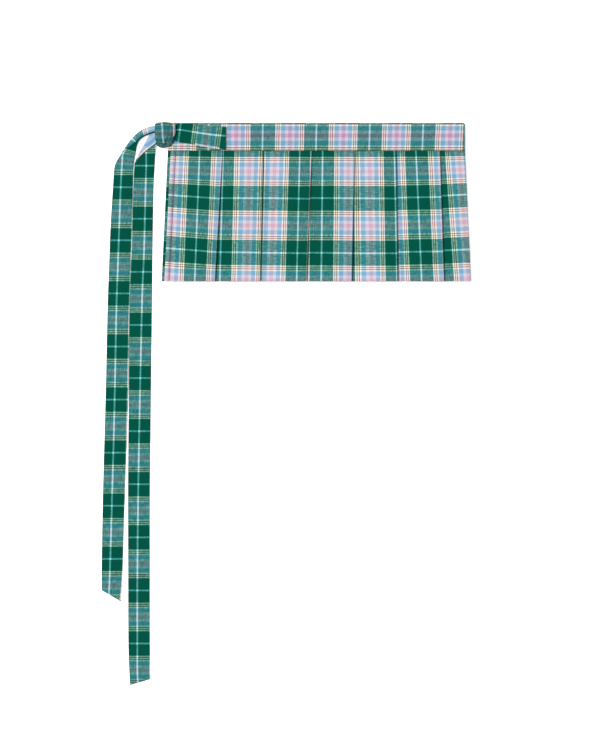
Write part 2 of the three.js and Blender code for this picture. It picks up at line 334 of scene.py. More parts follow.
# Creases and dents of the outer turn: their place, reach along the turn, width and depth
KNOT_CREASES = table(
    "turn across reach width depth",
    (0.98, -0.52, 0.26, 0.17, 0.9),
    (1.02, 0.06, 0.22, 0.14, 0.8),
    (0.90, 0.50, 0.30, 0.15, 1.1),
    (0.66, 0.86, 0.26, 0.14, 0.9),
    (0.06, -0.36, 0.20, 0.15, 0.8),
    (0.04, 0.34, 0.18, 0.14, 0.9),
    (0.44, 0.74, 0.34, 0.07, 0.7),
    (0.20, -0.56, 0.13, 0.12, 1.3),
    (0.15, 0.02, 0.11, 0.10, 1.0),
    (0.22, 0.52, 0.16, 0.11, 1.3),
    (0.76, -0.66, 0.14, 0.12, 0.8),
    (0.80, -0.16, 0.12, 0.11, 0.7),
    (0.72, 0.44, 0.20, 0.09, 1.2),
)

# The knot's inside: the middle and half size of the gathered lump
CORE_MIDDLE = (-157.6, KNOT_MIDDLE_Y, 8.2)
CORE_HALF = (12.2, 9.4, 3.9)

# The lower turn of the knot, which shows as a soft fold under the outer one: middle and half width, and
# how much of that it reaches across and up
KNOT_FOLD = table(
    "x y z half",
    (-164.0, 349.0, 5.4, 3.0),
    (-166.6, 343.8, 5.0, 3.6),
    (-165.6, 339.6, 4.8, 4.0),
    (-162.6, 337.3, 5.0, 4.2),
    (-158.2, 336.9, 5.9, 4.2),
    (-153.6, 338.0, 8.3, 3.9),
    (-150.4, 341.0, 9.6, 3.5),
    (-149.2, 344.8, 9.8, 3.3),
    (-151.0, 349.0, 9.2, 2.8),
)
FOLD_ACROSS = 1.1
FOLD_UP = 0.62


def mix(start, end, share):
    return start + (end - start) * share


def smooth(value):
    value = min(max(value, 0.0), 1.0)
    return value * value * (3 - 2 * value)


def linear(hex_colour):
    """An sRGB hex colour as the linear values that a shader takes."""
    channels = [int(hex_colour[k:k + 2], 16) / 255 for k in (1, 3, 5)]
    return tuple(c / 12.92 if c <= 0.04045 else ((c + 0.055) / 1.055) ** 2.4 for c in channels)


def colour_property(name, hex_colour, description):
    return bpy.props.FloatVectorProperty(
        name=name, description=description, subtype="COLOR", size=3, min=0, max=1, default=linear(hex_colour),
    )


def length_property(name, millimetres, description):
    return bpy.props.FloatProperty(
        name=name, description=description, subtype="DISTANCE", unit="LENGTH", min=0,
        default=millimetres * MM,
    )


class SkirtColours(bpy.types.PropertyGroup):
    """Colours of the dyed yarns, the sewing thread and the surface below."""

    pink: colour_property("Pink", "#CFA2B6", "Yarn of the narrow stripe in the middle of the pale group")
    white: colour_property("White", "#CFCCD6", "Yarn on both sides of the pink stripe")
    band_pink: colour_property("Band pink", "#C58BB2", "Yarn of the pink stripe in the waistband's cloth")
    blue: colour_property("Blue", "#76A6C8", "Yarn of the blue stripes")
    cream: colour_property("Cream", "#F6F0DC", "Yarn between and beside the thin dark lines")
    brick: colour_property("Brick", "#683424", "Yarn of the pairs of thin dark lines")
    green: colour_property("Green", "#014F40", "Yarn of the broad stripe")
    aqua: colour_property("Aqua", "#9CDDE0", "Yarn of the line along the middle of the green stripe")
    thread: colour_property("Sewing thread", "#31564F", "Sewing thread")
    # The hem thread is darker than a real one: partly its own colour, partly painted shade of its groove
    hem_thread: colour_property("Hem thread", "#3A2A52", "Sewing thread of the free edge")
    floor: colour_property("Surface", "#F7F7F7", "Paper that the skirt lies on")


class SkirtSizes(bpy.types.PropertyGroup):
    """Sizes of the cloth and its sewing."""

    cloth: length_property("Cloth", 0.36, "Thickness of one layer of the cotton")
    thread_pitch: length_property("Thread pitch", 0.85, "Spacing of the yarns as drawn, twice the real one")
    stitch: length_property("Stitch", 2.6, "Length of one stitch with its gap")
    stitch_width: length_property("Stitch width", 0.45, "Width of the stitches on the tie as drawn")


def colours():
    return bpy.context.scene.skirt_colours


def sizes():
    return bpy.context.scene.skirt_sizes


# Shader nodes

def add_node(tree, kind, inputs=None, **settings):
    """Adds a shader node, sets its properties, and fills its inputs with values, with outputs, or with
    nodes, whose first output is then meant."""
    node = tree.nodes.new("ShaderNode" + kind)
    for name, value in settings.items():
        setattr(node, name, value)
    for name, value in (inputs or {}).items():
        if isinstance(value, bpy.types.Node):
            value = value.outputs[0]
        if isinstance(value, bpy.types.NodeSocket):
            tree.links.new(value, node.inputs[name])
        else:
            node.inputs[name].default_value = value
    return node


def new_material(name):
    """A material with no nodes in its tree yet."""
    material = bpy.data.materials.new(name)
    material.use_nodes = True
    material.node_tree.nodes.clear()
    return material


# Crossed yarns are mixed as the mean of their colours at this power, darker than the mean of their
# light: painted shade of the yarns on one another
MIX_GAMMA = 3.2

# Noise turns in a repeat of the plaid: slubs about 1.3 mm wide, and wear over about 29 mm
SLUB_TURNS = 52.0
WEAR_TURNS = 2.4
SLUB_STRETCH = 0.16


def stripe_colour(tree, coordinate, pink):
    """The yarn at a place in the repeat, counted in repeats from an aqua line. The ramp holds each colour
    at the root of the mix's power, for the mix, which is raised back to it after."""
    from_aqua = add_node(tree, "Math", {0: coordinate, 1: 0.5}, operation="PINGPONG")
    from_pink = add_node(tree, "Math", {0: from_aqua, 1: -2.0, 2: 1.0}, operation="MULTIPLY_ADD")
    ramp = add_node(tree, "ValToRGB", {"Fac": from_pink})
    ramp.color_ramp.interpolation = "CONSTANT"
    stops = ramp.color_ramp.elements
    while len(stops) < len(STRIPES):
        stops.new(1.0)
    for stop, (name, distance) in zip(stops, STRIPES):
        stop.position = distance / HALF_REPEAT
        yarn = getattr(colours(), pink if name == "pink" else name)
        stop.color = (*(c ** (1 / MIX_GAMMA) for c in yarn), 1.0)
    return ramp


def plaid_cotton(name, fullness, tone_and_painted_shade, pink):
    """Yarn-dyed cotton in plain weave: matt, with a little fuzz, and where two colours cross each keeps
    the surface in turn, so the crossing looks mixed and faintly speckled. Fullness is how strongly the
    yarns' unevenness shows. The next value scales the whole colour down: painted shade on the knot's
    gathered cloth, and a slightly darker tone on the band."""
    material = new_material(name)
    tree = material.node_tree
    chart = add_node(tree, "UVMap", uv_map="plaid")
    place = add_node(tree, "SeparateXYZ", {0: chart})
    warp = stripe_colour(tree, place.outputs["X"], pink)
    weft = stripe_colour(tree, place.outputs["Y"], pink)

    # Over and under: one wave along each way of the cloth, a full turn for every two yarns
    turns = 2 * math.pi * REPEAT_ACROSS * MM / (2 * sizes().thread_pitch)
    waves = []
    for axis in ("X", "Y"):
        phase = add_node(tree, "Math", {0: place.outputs[axis], 1: turns}, operation="MULTIPLY")
        waves.append(add_node(tree, "Math", {0: phase}, operation="SINE"))
    weave = add_node(tree, "Math", {0: waves[0], 1: waves[1]}, operation="MULTIPLY")

    # Slubs: each yarn is uneven along its length, so the noise is long one way and one yarn wide the other
    slubs = []
    for scale in ((1.0, SLUB_STRETCH, 1.0), (SLUB_STRETCH, 1.0, 1.0)):
        along = add_node(tree, "Mapping", {"Vector": chart, "Scale": scale})
        slubs.append(add_node(
            tree, "TexNoise", {"Vector": along, "Scale": SLUB_TURNS, "Detail": 2.0, "Roughness": 0.6},
        ))
    uneven = add_node(tree, "Math", {0: slubs[0], 1: slubs[1]}, operation="SUBTRACT")
    share = add_node(tree, "Math", {0: uneven, 1: 0.6 * fullness, 2: 0.47}, operation="MULTIPLY_ADD")
    share = add_node(
        tree, "Math", {0: weave, 1: 0.14 * fullness, 2: share}, operation="MULTIPLY_ADD", use_clamp=True,
    )
    # Mixed at a power, so crossings come out darker: painted shade between the yarns
    blend = add_node(tree, "Mix", {"Factor": share, 6: warp, 7: weft}, data_type="RGBA")
    dyed = add_node(tree, "Gamma", {"Color": blend.outputs[2], "Gamma": MIX_GAMMA})

    # Depth of colour: yarns a little lighter and darker and soft wear over a few centimetres, all scaled
    # down for the knot's painted shade and the band's darker tone
    wear = add_node(
        tree, "TexNoise", {"Vector": chart, "Scale": WEAR_TURNS, "Detail": 3.0, "Roughness": 0.55},
    )
    total = add_node(tree, "Math", {0: slubs[0], 1: slubs[1]}, operation="ADD")
    depth = add_node(tree, "Math", {0: wear, 1: 0.1 * tone_and_painted_shade, 2: 0.56 * tone_and_painted_shade}, operation="MULTIPLY_ADD")
    depth = add_node(tree, "Math", {0: total, 1: 0.15 * tone_and_painted_shade, 2: depth}, operation="MULTIPLY_ADD")
    tint = add_node(tree, "VectorMath", {0: dyed, "Scale": depth.outputs[0]}, operation="SCALE")

    height = add_node(tree, "Math", {0: weave, 1: 0.5, 2: total}, operation="MULTIPLY_ADD")
    bump = add_node(tree, "Bump", {"Height": height, "Strength": 0.35, "Distance": 0.12 * MM})
    cotton = add_node(tree, "BsdfPrincipled", {
        "Base Color": tint, "Roughness": 0.9, "IOR": 1.5, "Specular IOR Level": 0.02,
        "Sheen Weight": 0.02, "Sheen Roughness": 0.5, "Normal": bump,
    })
    add_node(tree, "OutputMaterial", {"Surface": cotton})
    return material


def sewing_thread(name, colour):
    """Spun polyester thread: two plies twisted, a little glossier than the cotton. The twist is drawn at
    about 1.3 mm, coarser than a real one, so that it shows, as bands of painted shade a quarter darker."""
    material = new_material(name)
    tree = material.node_tree
    place = add_node(tree, "TexCoord")
    twist = add_node(
        tree, "TexWave", {"Vector": place.outputs["Object"], "Scale": 0.5 / MM, "Distortion": 1.0},
        bands_direction="DIAGONAL",
    )
    # Painted shade: the grooves of the twist are drawn a quarter darker than the thread
    dark = (*(c * 0.75 for c in colour), 1)
    light = (*colour, 1)
    tone_and_painted_shade = add_node(tree, "Mix", {"Factor": twist.outputs["Fac"], 6: dark, 7: light}, data_type="RGBA")
    polyester = add_node(tree, "BsdfPrincipled", {
        "Base Color": tone_and_painted_shade.outputs[2], "Roughness": 0.5, "Sheen Weight": 0.2,
    })
    add_node(tree, "OutputMaterial", {"Surface": polyester})
    return material


def white_paper(name):
    """Matt seamless paper on a light table: plain, faintly lit from below, so that shadows on it are pale."""
    material = new_material(name)
    tree = material.node_tree
    place = add_node(tree, "TexCoord")
    grain = add_node(tree, "TexNoise", {"Vector": place.outputs["Object"], "Scale": 900.0, "Detail": 2.0})
    bump = add_node(tree, "Bump", {"Height": grain, "Strength": 0.05, "Distance": 0.05 * MM})
    paper = add_node(tree, "BsdfPrincipled", {
        "Base Color": (*colours().floor, 1), "Roughness": 0.9, "Specular IOR Level": 0.1, "Normal": bump,
        "Emission Color": (*colours().floor, 1), "Emission Strength": 0.45,
    })
    add_node(tree, "OutputMaterial", {"Surface": paper})
    return material


def material_once(name, make, *values):
    return bpy.data.materials.get(name) or make(name, *values)


# The cottons by piece: their fullness, how far their colour is scaled down, and the yarn of their pink
# stripe. The knot's cloth is scaled down as painted shade, and the cloth inside the knot more; the band
# is a little darker in tone.
COTTONS = {
    "skirt": (1.0, 1.0, "pink"),
    "band": (0.9, 0.93, "band_pink"),
    "ties": (1.0, 1.0, "pink"),
    "knot": (1.0, 0.78, "band_pink"),
    "inside_knot": (1.0, 0.56, "band_pink"),
}


def cotton_of(part):
    return material_once(f"plaid_cotton_{part}", plaid_cotton, *COTTONS[part])


# Cloth meshes

def mesh_object(name, bm):
    """The bmesh as an object of the scene."""
    mesh = bpy.data.meshes.new(name)
    bm.to_mesh(mesh)
    bm.free()
    made = bpy.data.objects.new(name, mesh)
    bpy.context.scene.collection.objects.link(made)
    return made


# Distances in metres within which points are one: doubled ones, and the rings at a closed form's poles
DOUBLED = 1e-7
POLE = 1e-5


def cloth_grid(name, columns, rows, place, chart, joins=(), capped=False):
    """Cloth as a grid. place(column, row) gives a point in millimetres and chart(column, row) its place in
    the plaid, in repeats. Points within the distances of joins are joined in turn, as where a tube's first
    and last columns meet, and a capped tube has its two ends closed."""
    bm = bmesh.new()
    bmesh.ops.create_grid(bm, x_segments=columns, y_segments=rows, size=0.5)
    cells = {
        vert: (round((vert.co.x + 0.5) * columns), round((vert.co.y + 0.5) * rows)) for vert in bm.verts
    }
    plaid = bm.loops.layers.uv.new("plaid")
    for face in bm.faces:
        face.smooth = True
        for loop in face.loops:
            loop[plaid].uv = chart(*cells[loop.vert])
    for vert, cell in cells.items():
        vert.co = Vector(place(*cell)) * MM
    for distance in joins:
        bmesh.ops.remove_doubles(bm, verts=bm.verts, dist=distance)
    bm.normal_update()
    if capped:
        bmesh.ops.holes_fill(bm, edges=[edge for edge in bm.edges if edge.is_boundary], sides=0)
    if joins:
        bmesh.ops.recalc_face_normals(bm, faces=bm.faces)
    return mesh_object(name, bm)


def thicken(piece, thickness, offset, even):
    """Gives a sheet the cloth's thickness, on both sides at offset 0 or on the inner one at -1."""
    shell = piece.modifiers.new("cloth thickness", "SOLIDIFY")
    shell.thickness = thickness
    shell.offset = offset
    shell.use_even_offset = even


def dress(piece, material, slot, *nodes):
    """Gives a piece its material and tells the frame what it rides on and stands for."""
    piece.data.materials.append(material)
    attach(piece, "root")
    if nodes:
        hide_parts(*nodes)
    return piece


def relief(x, y, creases):
    """Height that soft creases add at a place, in millimetres."""
    total = 0.0
    for crease in creases:
        angle = math.radians(crease.bearing)
        dx, dy = x - crease.x, y - crease.y
        along = (dx * math.cos(angle) + dy * math.sin(angle)) / crease.length
        across = (dy * math.cos(angle) - dx * math.sin(angle)) / crease.width
        total += crease.height * math.exp(-along * along - across * across)
    return total


# Pleated panels

# Places along a path across a panel: the strip, the share of the way under its fold edge to the next
# strip, and the run of cloth from the first sample
Sample = namedtuple("Sample", "x height strip share run", defaults=(0.0, 0.0))

FACE_STEPS = 22
TURN_STEPS = 8
UNDER_STEPS = 5

# How far a fold edge stands open at the hem, how much a face bulges, how flat the pleats are pressed at the
# band and over what share of the length, half the gap in the turned hem, and how fast the back's faces rise
FOLD_OPENING = 1.8
PLEAT_CROWN = 0.35
SQUEEZE_AT_BAND = 0.45
SQUEEZE_REACH = 0.09
HEM_TURN_HALF = 0.45
BACK_RAMP = 9.0


def half_turn(x, height, radius, side, way):
    """Half a circle of path points: side 1 bulges to +x, way 1 goes down and -1 up."""
    for k in range(TURN_STEPS + 1):
        angle = math.pi * (0.5 - k / TURN_STEPS)
        yield x + side * radius * math.cos(angle), height + way * radius * math.sin(angle)


def stretch(start, end, count):
    """Points between two path points, without the ends."""
    for k in range(1, count):
        yield mix(start[0], end[0], k / count), mix(start[1], end[1], k / count)


def pleat_path(start, folds, opening, squeeze, ramp):
    """Samples across knife pleats from a start point (x, height), and the point where they end. folds are
    (edge, depth) pairs, opening is how far each fold edge stands open, squeeze how much of the height is
    left, and ramp how soon a face is up on its own pleat, or 0 where it rises until that pleat begins."""
    samples = []
    top = 2 * LAYER + opening
    radius = (top - LAYER) / 2
    x0, h0 = start
    for strip, (edge, depth) in enumerate(folds):
        turn_x = edge - radius
        next_x = edge - radius * 0.4
        ramp_end = x0 + ramp if ramp else edge - depth - 2
        for k in range(FACE_STEPS):
            x = mix(x0, turn_x, k / FACE_STEPS)
            crown = PLEAT_CROWN * math.sin(math.pi * k / FACE_STEPS)
            samples.append((x, mix(h0, top, smooth((x - x0) / (ramp_end - x0))) + crown, strip, 0.0))
        under = list(half_turn(turn_x, LAYER + radius, radius, 1, 1))
        under += stretch(under[-1], (edge - depth, LAYER), UNDER_STEPS)
        under += half_turn(edge - depth, LAYER / 2, LAYER / 2, -1, 1)
        under += stretch(under[-1], (next_x, 0), UNDER_STEPS)
        samples += [(x, h, strip, k / len(under)) for k, (x, h) in enumerate(under)]
        x0, h0 = next_x, 0.0
    return [Sample(x, height * squeeze, strip, share) for x, height, strip, share in samples], (x0, h0)


def with_run(samples):
    """Samples with the length of cloth from the first one to each."""
    run = 0.0
    result = [samples[0]]
    for before, after in zip(samples, samples[1:]):
        run += math.hypot(after.x - before.x, after.height - before.height)
        result.append(after._replace(run=run))
    return result


def squeeze_at(share):
    """The pleats are pressed flat at the band and fill out a little way below it."""
    return mix(SQUEEZE_AT_BAND, 1.0, smooth(share / SQUEEZE_REACH))


def front_path(share):
    """Samples across the front at a share of the way from the band to the hem."""
    free = mix(*FREE_EDGE, share)
    squeeze = squeeze_at(share)
    hem = [(free + SIDE_HEM, 0.0)]
    hem += stretch(hem[0], (free + LAYER / 2, 0.0), UNDER_STEPS)
    hem += half_turn(free + LAYER / 2, LAYER / 2, LAYER / 2, -1, -1)
    samples = [Sample(x, h * squeeze, 0) for x, h in hem]

    # The stitches press a groove into the hem
    groove = free + HEM_GROOVE_IN
    drops = ((free + 2.2, -0.2), (groove - 1.1, 0), (groove - 0.5, 0.6), (groove, 1.0), (groove + 0.6, 0.8))
    samples += [Sample(x, (LAYER - drop) * squeeze, 0) for x, drop in drops]

    folds = [(mix(strip.top, strip.hem, share), strip.depth) for strip in STRIPS[:-1]]
    face, (x0, _) = pleat_path((groove + 1.4, LAYER * 0.6), folds, FOLD_OPENING * share, squeeze, 0)
    samples += face
    side = mix(*SIDE_EDGE, share)
    radius = (BACK_STACK + LAYER * squeeze) / 2
    last = len(STRIPS) - 1
    for k in range(FACE_STEPS):
        x = mix(x0, side - radius, k / FACE_STEPS)
        samples.append(Sample(x, squeeze * LAYER * smooth(k / FACE_STEPS * 1.6), last))
    turn = list(half_turn(side - radius, LAYER * squeeze - radius, radius, 1, 1))
    turn += stretch(turn[-1], (side - SIDE_TURN, -BACK_STACK), UNDER_STEPS)
    turn.append((side - SIDE_TURN, -BACK_STACK))
    samples += [Sample(x, h, last) for x, h in turn]
    return with_run([sample._replace(height=sample.height + FLOOR_LAYER + BACK_STACK) for sample in samples])


def back_path(share):
    """Samples across the back, the same pleats face down, from the side to the free edge."""
    start = SIDE_TURN + 0.3 - mix(*SIDE_EDGE, share)
    free = -mix(*BACK_EDGE, share)
    pitch = (free - start) / (BACK_PLEATS + 1)
    folds = [(start + pitch * (k + 1), BACK_PLEAT_DEPTH) for k in range(BACK_PLEATS)]
    top = 2 * LAYER
    samples, (x0, _) = pleat_path((start, top), folds, 0.0, 1.0, BACK_RAMP)
    for k in range(FACE_STEPS):
        x = mix(x0, free - LAYER / 2, k / FACE_STEPS)
        samples.append(Sample(x, top * smooth((x - x0) / BACK_RAMP), BACK_PLEATS))
    hem = list(half_turn(free - LAYER / 2, top - LAYER / 2, LAYER / 2, 1, 1))
    hem += stretch(hem[-1], (free - SIDE_HEM, LAYER), UNDER_STEPS)
    samples += [Sample(x, h, BACK_PLEATS) for x, h in hem]
    path = with_run([Sample(-s.x, FLOOR_LAYER + top - s.height, s.strip, s.share) for s in samples])
    return [sample._replace(run=path[-1].run - sample.run) for sample in path]


def strip_chart(strip, x, y):
    """Where a place on a strip of the front lies in the plaid, from the lines that show on it."""
    row = STRIPS[strip]
    height = (y - LINES_LOW_Y) / (LINES_HIGH_Y - LINES_LOW_Y)
    lines = [(place, mix(low, high, height)) for place, high, low in row.lines]
    k = max(0, min(len(lines) - 2, sum(x > line for _, line in lines) - 1))
    (place1, x1), (place2, x2) = lines[k], lines[k + 1]
    across = mix(place1, place2, (x - x1) / (x2 - x1))
    before = STRIPS[strip - 1] if strip else FREE_EDGE
    left, right = (before.top + before.hem) / 2, (row.top + row.hem) / 2
    share = (x - left) / (right - left)
    line1, line2 = mix(row.left1, row.right1, share), mix(row.left2, row.right2, share)
    if y > line1:
        return across, (line1 - y) / (AQUA_ABOVE_Y - line1)
    if y < line2:
        return across, 1 + (line2 - y) / (line2 - AQUA_BELOW_Y)
    return across, (line1 - y) / (line1 - line2)


def front_chart(sample, y, share_down):
    """Plaid on the front, and under a fold edge a steady run from one strip to the next."""
    free = mix(*FREE_EDGE, share_down)
    if sample.run < SIDE_HEM:
        return strip_chart(0, 2 * free - sample.x, y)
    if not sample.share:
        return strip_chart(sample.strip, sample.x, y)
    row = STRIPS[sample.strip]
    edge = mix(row.top, row.hem, share_down)
    here = strip_chart(sample.strip, edge, y)
    after = strip_chart(sample.strip + 1, edge, y)
    whole = round(2 * row.depth / REPEAT_ACROSS - after[0] + here[0])
    return mix(here[0], after[0] + whole, sample.share), mix(here[1], after[1], sample.share)


def row_shares():
    """Rows of a panel from the hem up, as (share of the way down, y, turned): the hem allowance first,
    turned up inside, then the face, then the tuck under the band."""
    length = SEAM_Y - HEM_Y
    rows = [(1 - up / length, HEM_Y + up, 1.0) for up in (BOTTOM_HEM * (1 - k / 4) for k in range(4))]
    rows += [(1.0, HEM_Y + 0.3 * (1 - math.sin(math.pi * k / 4)), 1 - k / 4) for k in range(5)]
    count = 64
    rows += [(1 - k / count, mix(HEM_Y, SEAM_Y, k / count), 0.0) for k in range(1, count + 1)]
    rows += [(0.0, SEAM_Y + TUCK_UNDER_BAND * k / 2, 0.0) for k in (1, 2)]
    return rows


def pleated_panel(name, path_at, chart_at):
    """A pleated panel from its path at each share of the way down, its hem allowance turned up inside."""
    rows = row_shares()
    paths = [path_at(share) for share, _, _ in rows]
    columns = len(paths[0]) - 1

    def place(i, j):
        share, y, turned = rows[j]
        path = paths[j]
        before, after = path[max(i - 1, 0)], path[min(i + 1, columns)]
        along = Vector((after.x - before.x, after.height - before.height)).normalized()
        x = path[i].x + along.y * turned * HEM_TURN_HALF
        z = path[i].height - along.x * turned * HEM_TURN_HALF

        # Creases lift the upper layers whole, and less and less towards the floor
        lifted = min(z / FLOOR_LAYER - 1, 8) / 8
        return x, y, max(z + relief(x, y, SKIRT_CREASES) * lifted, FLOOR_LAYER * 0.5)

    def chart(i, j):
        share, y, turned = rows[j]
        return chart_at(paths[j][i], y if turned < 1 else 2 * HEM_Y - y, share)

    piece = cloth_grid(name, columns, len(rows) - 1, place, chart)
    thicken(piece, sizes().cloth, 0.0, True)
    return piece


class SKIRT_OT_front_panel(bpy.types.Operator):
    """Build the pleated front with its hems"""

    bl_idname = "wrap_skirt.front_panel"
    bl_label = "Front Panel"

    def execute(self, context):
        piece = pleated_panel("skirt_front", front_path, front_chart)
        dress(piece, cotton_of("skirt"), "skirt_cloth", "front_panel")
        return {"FINISHED"}


class SKIRT_OT_back_panel(bpy.types.Operator):
    """Build the pleated back, which lies face down under the front"""

    bl_idname = "wrap_skirt.back_panel"
    bl_label = "Back Panel"

    def execute(self, context):
        def chart(sample, y, share_down):
            across = BACK_EDGE_ACROSS - (sample.run - SIDE_HEM) / REPEAT_ACROSS
            return across, (AQUA_ABOVE_Y - y) / REPEAT_ALONG

        piece = pleated_panel("skirt_back", back_path, chart)
        dress(piece, cotton_of("skirt"), "skirt_cloth", "back_panel")
        return {"FINISHED"}


# Pressed tubes: the waistband and the ties

SpineRow = namedtuple("SpineRow", "points normals across along")

# Over this length a tube's edges round off; the columns near an edge lie in this share of the width
TUBE_EDGE = 1.2
TUBE_EDGE_SHARE = 0.045
TUBE_EDGE_STEPS = 4


def pressed_tube(name, rows, thick, lining=None):
    """A flat tube of two layers through spine rows. Each row has its middle points from one edge to the
    other, with the face's normal there, and the plaid of the face: across, in repeats, and along. The
    plaid of the underside runs on round the first edge, or stays between the two places of a lining."""
    count = len(rows[0].points)
    last = count - 1
    ring = 2 * count - 2

    def side_of(i):
        """Which middle point a ring column belongs to, and its side: 1 face, -1 underside, 0 an edge."""
        i %= ring
        if i <= last:
            return i, (1 if 0 < i < last else 0)
        return ring - i, -1

    def place(i, j):
        k, side = side_of(i)
        row = rows[j]
        edge = min((row.points[k] - row.points[0]).length, (row.points[k] - row.points[last]).length)
        full = min(edge / TUBE_EDGE, 1.0)
        half = thick / 2 * math.sqrt(max(1 - (1 - full) ** 2, 0.0))
        return row.points[k] + row.normals[k] * (side * half)

    def chart(i, j):
        k, side = side_of(i)
        row = rows[j]
        across = row.across[k]
        if i > last:
            across = mix(*lining, k / last) if lining else 2 * row.across[0] - across
        return across, row.along[k]

    return cloth_grid(name, ring, len(rows) - 1, place, chart, joins=(DOUBLED,), capped=True)


def edge_shares(inner):
    """Shares of the way across a pressed tube, close together at its rounded edges."""
    near = [TUBE_EDGE_SHARE * (k / TUBE_EDGE_STEPS) ** 1.5 for k in range(TUBE_EDGE_STEPS)]
    middle = [mix(TUBE_EDGE_SHARE, 1 - TUBE_EDGE_SHARE, k / inner) for k in range(inner + 1)]
    return near + middle + [1 - share for share in reversed(near)]


def band_front_mid(y):
    """Height of the middle of the band's front: lifted at the seam by the pleats inside it."""
    share = (y - BAND_SEAM_Y) / (BAND_FRONT_TOP_Y - BAND_SEAM_Y)
    return mix(BAND_FRONT_SEAM_MID, BAND_FRONT_TOP_MID, share)


def band_across(x):
    """The plaid along the band, in repeats, from where the pink stripes lie, with a little give between."""
    xs = BAND_PINK_XS
    k = max(0, min(len(xs) - 2, sum(x > pink for pink in xs) - 1))
    share = (x - xs[k]) / (xs[k + 1] - xs[k])
    return k + 0.5 + share + BAND_GIVE * math.sin(math.pi * share)


def band_rows():
    """Spine rows of the band: the back from the left end, round the side, and the front back to the left."""
    shares = edge_shares(14)
    side = SIDE_EDGE.top
    straight, turn = 60, 12
    legs = [(0.0, k / straight) for k in range(straight + 1)]
    legs += [(k / turn, 1.0) for k in range(1, turn)]
    legs += [(1.0, 1 - k / straight) for k in range(straight + 1)]
    rows = []
    for rise, out in legs:
        points, normals, across = [], [], []
        angle = math.pi * rise
        for share in shares:
            y = mix(BAND_SEAM_Y, mix(BAND_BACK_TOP_Y, BAND_FRONT_TOP_Y, rise), share)
            front = band_front_mid(y) + relief(mix(BAND_LEFT, side, out), y, BAND_CREASES)
            radius = (front - BAND_BACK_MID) / 2
            x = mix(BAND_LEFT, side - radius - BAND_THICK / 2, out) + radius * math.sin(angle)
            points.append(Vector((x, y, BAND_BACK_MID + radius * (1 - math.cos(angle)))))
            normals.append(Vector((math.sin(angle), 0, -math.cos(angle))))
            drawn = BAND_DRAWN_UP * rise * smooth((BAND_DRAWN_FROM_X - x) / BAND_DRAWN_OVER)
            below_pink = BAND_PINK_Y + drawn - y
            pull = BAND_PULL_BELOW if below_pink > 0 else BAND_PULL_ABOVE
            across.append(below_pink * pull / REPEAT_ALONG + 0.5)
        along = band_across(points[0].x)
        if rise < 1.0:
            along = band_across(side) + (side - points[0].x) / REPEAT_ACROSS
        rows.append(SpineRow(points, normals, across, [along] * len(shares)))
    return rows


class SKIRT_OT_waistband(bpy.types.Operator):
    """Build the waistband, folded at the side"""

    bl_idname = "wrap_skirt.waistband"
    bl_label = "Waistband"

    def execute(self, context):
        piece = pressed_tube("skirt_band", band_rows(), BAND_THICK, lining=BAND_LINING)
        dress(piece, cotton_of("band"), "band_cloth", "waistband")
        return {"FINISHED"}


def spline(rows, step):
    """Rows of a table on a smooth run through all of them, about a step apart."""
    kind = type(rows[0])
    points = [rows[0], *rows, rows[-1]]
    result = []
    for a, b, c, d in zip(points, points[1:], points[2:], points[3:]):
        length = max(abs(c[0] - b[0]), abs(c[1] - b[1]), abs(c[3] - b[3]))
        count = max(2, math.ceil(length / step))
        for k in range(count):
            t = k / count
            values = (
                q + 0.5 * (
                    (r - p) * t + (2 * p - 5 * q + 4 * r - s) * t * t + (3 * q - p - 3 * r + s) * t ** 3
                )
                for p, q, r, s in zip(a, b, c, d)
            )
            result.append(kind(*values))
    result.append(rows[-1])
    return result


# How much of a tie's grid is kept for the part turned over and for the turn, and over what length below
# them those columns spread out again
FLAP_SHARE = 0.36
TURN_SHARE = 0.12
SPREAD_LENGTH = 36.0
ROW_STEP = 3.0

# The turn's radius, in tie thicknesses and at most in shares of what is turned over, the narrowest part
# that is folded, and the least repeats and the stretch in which the table's plaid gives way to that by y
TURN_RADIUS = 0.62
TURN_RADIUS_SHARE = 0.2
LEAST_FLAP = 0.05
LEAST_ALONG = -0.95
GIVES_WAY_OVER = 14.0


def folded_run(share, flap, turn, face):
    """Length across a folded tie from its free edge, each part with its own columns of the grid."""
    if share < FLAP_SHARE:
        return flap * share / FLAP_SHARE
    if share < FLAP_SHARE + TURN_SHARE:
        return flap + turn * (share - FLAP_SHARE) / TURN_SHARE
    return flap + turn + face * (share - FLAP_SHARE - TURN_SHARE) / (1 - FLAP_SHARE - TURN_SHARE)


